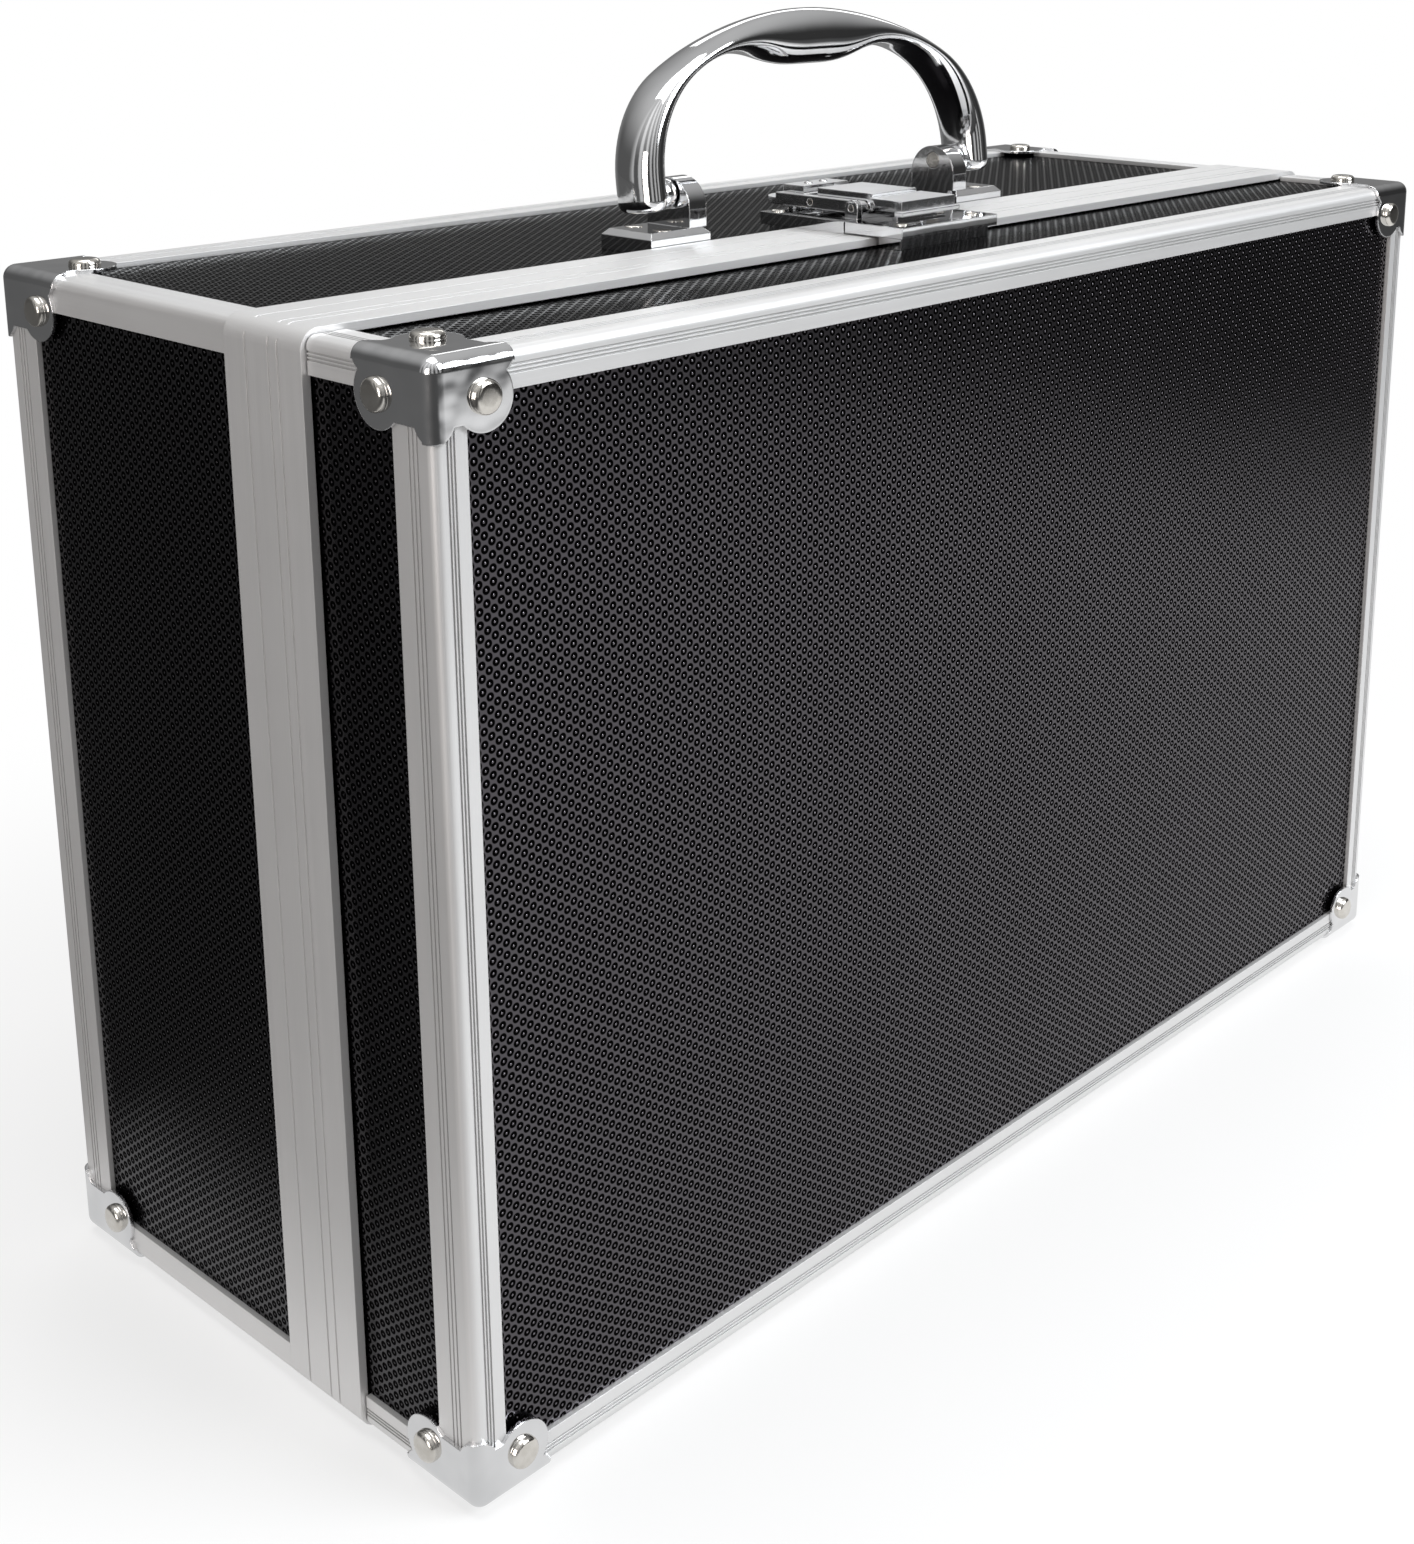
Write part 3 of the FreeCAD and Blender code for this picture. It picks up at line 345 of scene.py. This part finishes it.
def put_in(points, faces, rings):
    """Adds a loft through rings to a list of points and one of faces."""
    base = len(points)
    more, sides = loft(rings)
    points += more
    faces += [tuple(base + k for k in face) for face in sides]


def arc(centre, radius, begin, end, count):
    """Points of an arc between two angles in degrees."""
    turns = [math.radians(begin + (end - begin) * i / count) for i in range(count + 1)]
    return [(centre[0] + radius * math.cos(t), centre[1] + radius * math.sin(t)) for t in turns]


def along(points, count):
    """A line of points divided evenly by length."""
    lengths = [0.0]
    for a, b in zip(points, points[1:]):
        lengths.append(lengths[-1] + math.dist(a, b))
    out = []
    for i in range(count + 1):
        wanted = lengths[-1] * i / count
        k = min(max(j for j, at in enumerate(lengths) if at <= wanted + 1e-9), len(points) - 2)
        share = (wanted - lengths[k]) / (lengths[k + 1] - lengths[k])
        out.append(tuple(a + (b - a) * share for a, b in zip(points[k], points[k + 1])))
    return out


def handle():
    """The cast arch with an oval section, thin at the finger hollows and full at the swell."""
    half, leg, deep, rise, straight, foot = 60.5, 8.0, 13.0, 39.0, 3.0, 3.7
    inner, inner_straight, hollow_x, hollow_z, flat, drop = half - leg, 3.7, 25.0, 29.4, 5.0, 3.3
    toe, turn, lean, pivot = 2.5, 60.0, math.radians(7.0), (-2.4, 233.0)
    c, s = math.cos(math.radians(turn)), math.sin(math.radians(turn))
    share = (1 - s) / c
    shoulder = (rise - straight - half * share) / (s - (1 - c) * share)
    crown = (half - shoulder * (1 - c)) / c
    spread_of = (1 - c) * (1 - s) - c * s
    across, climb = inner - hollow_x, hollow_z - inner_straight
    first = (across * (1 - s) - climb * c) / spread_of
    second = ((1 - c) * climb - s * across) / spread_of
    both = ((hollow_x - flat) ** 2 + drop ** 2) / (2 * drop)
    third = 0.48 * both
    fourth = both - third
    wave = math.degrees(math.atan2(both - drop, flat - hollow_x))
    # Outer and inner lines of the right half, in stretches that face each other
    outer = [
        arc((0, rise - crown), crown, 90, turn, 24),
        arc((half - shoulder, straight), shoulder, turn, 0, 18),
        [(half, straight), (half, -foot)],
    ]
    under = [(0, hollow_z - drop)] + arc((flat, hollow_z - drop + fourth), fourth, -90, wave - 180, 10)
    under += arc((hollow_x, hollow_z - third), third, wave, 90, 10)[1:]
    inside = [
        under + arc((hollow_x, hollow_z - second), second, 90, turn, 10)[1:],
        arc((inner - first, inner_straight), first, turn, 0, 18),
        [(inner, inner_straight), (inner, -foot)],
    ]
    pairs = []
    for out_line, in_line, count in zip(outer, inside, (26, 18, 5)):
        stretch = list(zip(along(out_line, count), along(in_line, count)))
        pairs += stretch[1:] if pairs else stretch

    def ring(one, two, side, inset):
        middle = [(a + b) / 2 for a, b in zip(one, two)]
        reach = [(a - b) / 2 for a, b in zip(one, two)]
        thin = 1 - inset / math.hypot(*reach)
        loop = []
        for j in range(40):
            t = 2 * math.pi * j / 40
            u = math.copysign(abs(math.cos(t)) ** 0.92, math.cos(t)) * thin
            v = math.copysign(abs(math.sin(t)) ** 0.92, math.sin(t)) * (deep / 2 - inset)
            x, z = middle[0] + reach[0] * u, middle[1] + reach[1] * u
            y = v * math.cos(lean) + z * math.sin(lean)
            z = z * math.cos(lean) - v * math.sin(lean)
            loop.append((side * x, pivot[0] + y, pivot[1] + z))
        return loop

    # Each toe rounds off over its last stretch
    toes = []
    for i in range(6):
        t = math.radians(90.0 * i / 6)
        lift = toe * (1 - math.sin(t))
        toes.append(((half, lift - foot), (inner, lift - foot), toe * (1 - math.cos(t))))
    body = [(a, b, 0.0) for a, b in pairs if a[1] > toe - foot] + toes
    right = [ring(a, b, 1, inset) for a, b, inset in body]
    left = [ring(a, b, -1, inset) for a, b, inset in body[:0:-1]]
    points, faces = loft(left + right)
    # A round boss on each leg's inner side, towards its bracket
    for side in (1, -1):
        boss = []
        for x, radius in ((inner + 2.0, 3.6), (inner - 2.9, 3.6), (inner - 3.2, 3.4), (inner - 3.3, 3.1)):
            turns = [2 * math.pi * j / 32 for j in range(32)]
            loop = [(side * x, pivot[0] + radius * math.cos(t), pivot[1] + radius * math.sin(t)) for t in turns]
            boss.append(loop if side > 0 else loop[::-1])
        put_in(points, faces, boss)
    piece_from("handle_cast", points, faces, CHROME, "handle", ["handle"])


RIVET_PROFILE = [(1.5, 1.5), (2.15, 1.47), (2.6, 1.36), (2.92, 1.12), (3.12, 0.75), (3.2, 0.35), (3.2, -0.4),
                 (1.4, -0.4), (1.4, -4.8)]
RIVET_STEPS = 28


def corner_rivets(half):
    """Low domed heads on the three faces of each protector."""
    points, faces = [], []
    for height in ("top", "bottom"):
        for side in ("left", "right"):
            low, high = [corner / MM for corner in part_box(f"{half}_protector_{height}_{side}")]
            signs = (1 if side == "right" else -1, 1 if half == "base" else -1, 1 if height == "top" else -1)
            tip = [b if sign > 0 else a for a, b, sign in zip(low, high, signs)]
            inset = [t - sign * (0.8 + lobe) for t, sign, lobe in zip(tip, signs, (10.4, 13.9, 7.2))]
            for axis in range(3):
                out = Vector([signs[axis] if i == axis else 0 for i in range(3)])
                seat = Vector([tip[i] if i == axis else inset[i] for i in range(3)])
                across = out.orthogonal().normalized()
                beside = out.cross(across)
                rings = []
                for radius, rise in RIVET_PROFILE:
                    turns = [2 * math.pi * j / RIVET_STEPS for j in range(RIVET_STEPS)]
                    rings.append([seat + out * rise + (across * math.cos(t) + beside * math.sin(t)) * radius
                                  for t in reversed(turns)])
                put_in(points, faces, rings)
    name = f"{half}_corner_rivet_heads"
    piece_from(name, points, faces, NICKEL, half, [f"{half}_corner_rivets"])


def lever_studs():
    """Two small domed studs on the lever's rear cap."""
    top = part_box("latch_lever")[1] / MM
    points, faces = [], []
    for across in (-2.6, 2.6):
        rings = []
        for radius, rise in ((0.35, 0.5), (0.7, 0.42), (0.95, 0.24), (1.05, 0.0), (1.05, -0.4)):
            turns = [2 * math.pi * j / 20 for j in range(20)]
            rings.append([(across + radius * math.cos(t), top.y - 13.3 + radius * math.sin(t), top.z + rise)
                          for t in reversed(turns)])
        put_in(points, faces, rings)
    piece_from("latch_lever_studs", points, faces, CHROME, "latch_lever")


handle()
for half in ("base", "lid"):
    corner_rivets(half)
lever_studs()


# Camera at the photograph's angle, with a shift that keeps the case in the picture from other sides

def aim(item, eye, right, down, forward):
    axes = [Vector(right), -Vector(down), -Vector(forward)]
    item.matrix_world = Matrix.Translation(Vector(eye) * MM) @ Matrix(axes).transposed().to_4x4()


lens = bpy.data.cameras.new("camera")
lens.lens = 50.2
lens.sensor_width = 36.0
lens.shift_x = -0.08
lens.shift_y = -0.2
lens.clip_start = 0.01
camera = bpy.data.objects.new("camera", lens)
scene.collection.objects.link(camera)
aim(camera, (-378.85, -346.95, 292.1), (0.66824, -0.74393, 0.00372), (-0.1803, -0.16681, -0.96936),
    (0.72176, 0.6471, -0.2456))
scene.camera = camera


# Studio: pale floor, soft lamps, grey walls for the metal to mirror

def plane(name, points, material, faces=None):
    mesh = bpy.data.meshes.new(name)
    mesh.from_pydata(points, [], faces or [range(len(points))])
    mesh.materials.append(material)
    item = bpy.data.objects.new(name, mesh)
    scene.collection.objects.link(item)
    return item


def lamp(name, spot, target, size, power, colour=(1.0, 1.0, 1.0)):
    light = bpy.data.lights.new(name, "AREA")
    light.shape = "RECTANGLE"
    light.size, light.size_y = size
    light.energy = power
    light.color = colour
    item = bpy.data.objects.new(name, light)
    item.location = spot
    item.rotation_euler = (Vector(target) - Vector(spot)).to_track_quat("-Z", "Y").to_euler()
    scene.collection.objects.link(item)


def seen_by(tree, *senses):
    """One where the ray is of a named kind."""
    rays = add(tree, "ShaderNodeLightPath").outputs
    total = 0.0
    for sense in senses:
        total = maths(tree, "MAXIMUM", rays[f"Is {sense} Ray"], total)
    return total


def floor():
    """White paper: it bounces little light, keeps the shadow near the object and is white far off."""
    paint, tree, shader = blank("floor", Roughness=0.9)
    looked_at = seen_by(tree, "Camera", "Glossy", "Transmission")
    fibre = noise(tree, place(tree), 0.004, 2.0)
    paper = maths(tree, "MULTIPLY_ADD", fibre, 0.02, spread(tree, looked_at, 0.0, 1.0, 0.34, 0.94))
    tree.links.new(paper, shader.inputs["Base Color"])
    away = add(tree, "ShaderNodeVectorMath", {0: place(tree)}, operation="LENGTH").outputs["Value"]
    glow = maths(tree, "MULTIPLY", spread(tree, away, 150.0, 380.0, 0.6, 1.0), looked_at)
    white = add(tree, "ShaderNodeEmission")
    mixed = add(tree, "ShaderNodeMixShader", {0: glow, 1: shader.outputs[0], 2: white.outputs[0]})
    tree.links.new(mixed.outputs[0], tree.nodes["Material Output"].inputs["Surface"])
    plane("floor", [(-40, -40, 0), (40, -40, 0), (40, 40, 0), (-40, 40, 0)], paint)


WALL_PROFILE = [(0.0, 0.0005), (3.2, 0.0005), (3.1, 0.7), (2.6, 1.8), (1.6, 2.7), (0.0, 3.1)]
WALL_STEPS = 48


def walls():
    """Grey studio walls that only mirrors see: dark in front, lighter behind and overhead.

    The floor that mirrors see is lit in front of the case and dim elsewhere.
    """
    paint, tree, shader = blank("walls", Base_Color=(0.0, 0.0, 0.0, 1.0), Roughness=1.0, Emission_Strength=1.0)
    where = place(tree)
    facing = add(tree, "ShaderNodeVectorMath", {0: where}, operation="NORMALIZE").outputs["Vector"]
    x, y, z = add(tree, "ShaderNodeSeparateXYZ", {0: facing}).outputs
    right_back = maths(tree, "MULTIPLY_ADD", x, 0.77, maths(tree, "MULTIPLY", y, 0.63))
    left_back = maths(tree, "MULTIPLY_ADD", x, -0.77, maths(tree, "MULTIPLY", y, 0.63))
    behind = spread(tree, right_back, 0.4, 0.95, 0.03, 0.2)
    tone = maths(tree, "ADD", behind, spread(tree, left_back, 0.0, 0.9, 0.0, 0.06))
    tone = maths(tree, "ADD", tone, spread(tree, z, 0.25, 0.95, 0.0, 0.5))
    stripes = maths(tree, "SINE", maths(tree, "MULTIPLY", maths(tree, "ARCTAN2", y, x), 13.0))
    left_front = maths(tree, "MULTIPLY_ADD", x, -0.72, maths(tree, "MULTIPLY", y, -0.69))
    screens = spread(tree, stripes, -0.3, 0.5, 0.0, 0.45)
    screens = maths(tree, "MULTIPLY", screens, spread(tree, left_front, 0.05, 0.35, 0.0, 1.0))
    x, y, z = add(tree, "ShaderNodeSeparateXYZ", {0: where}).outputs
    tone = maths(tree, "MULTIPLY_ADD", screens, spread(tree, z, 20.0, 60.0, 0.0, 1.0), tone)
    low_down = spread(tree, z, 1.0, 30.0, 0.8, 0.0)
    lit = low_down
    for axis, edge, end in ((y, -1120.0, -600.0), (y, 60.0, -60.0), (x, -350.0, -100.0), (x, 850.0, 420.0)):
        low, high = min(edge, end), max(edge, end)
        lit = maths(tree, "MULTIPLY", lit, spread(tree, axis, low, high, float(edge > end), float(edge < end)))
    sides = ((x, 170.0), (y, 75.0))
    beside = [maths(tree, "SUBTRACT", maths(tree, "ABSOLUTE", axis), half) for axis, half in sides]
    close = spread(tree, maths(tree, "MAXIMUM", *beside), 10.0, 45.0, 1.0, 0.0)
    lit = maths(tree, "MAXIMUM", lit, maths(tree, "MULTIPLY", close, maths(tree, "MULTIPLY", low_down, 0.72)))
    tree.links.new(maths(tree, "ADD", tone, lit), shader.inputs["Emission Color"])
    points, faces = [], []
    for i in range(WALL_STEPS):
        turn = 2 * math.pi * i / WALL_STEPS
        points += [(r * math.cos(turn), r * math.sin(turn), h) for r, h in WALL_PROFILE]
    rows = len(WALL_PROFILE)
    for i in range(WALL_STEPS):
        here, there = i * rows, (i + 1) % WALL_STEPS * rows
        faces += [(here + j, there + j, there + j + 1, here + j + 1) for j in range(rows - 1)]
    item = plane("walls", points, paint, faces)
    for sense in ("camera", "diffuse", "transmission", "volume_scatter", "shadow"):
        setattr(item, "visible_" + sense, False)


floor()
walls()
lamp("key", (0.75, -1.65, 1.35), (0, 0, 0.1), (1.2, 1.2), 36.0, (0.94, 0.97, 1.0))
lamp("overhead", (-0.1, 0.0, 1.9), (0, 0, 0.2), (1.5, 1.2), 17.0)
lamp("left", (-1.9, -0.5, 0.5), (0, 0, 0.15), (0.7, 1.1), 12.0, (1.0, 0.93, 0.89))
lamp("rim", (1.3, 1.0, 1.05), (0, 0, 0.2), (1.2, 0.3), 1.8)

world = bpy.data.worlds.new("studio")
world.use_nodes = True
tree = world.node_tree
sky = spread(tree, seen_by(tree, "Camera", "Glossy", "Transmission"), 0.0, 1.0, 0.28, 1.0)
tree.links.new(sky, tree.nodes["Background"].inputs["Strength"])
tree.nodes["Background"].inputs["Color"].default_value = (1.0, 1.0, 1.0, 1.0)
scene.world = world
scene.view_settings.view_transform = "Standard"
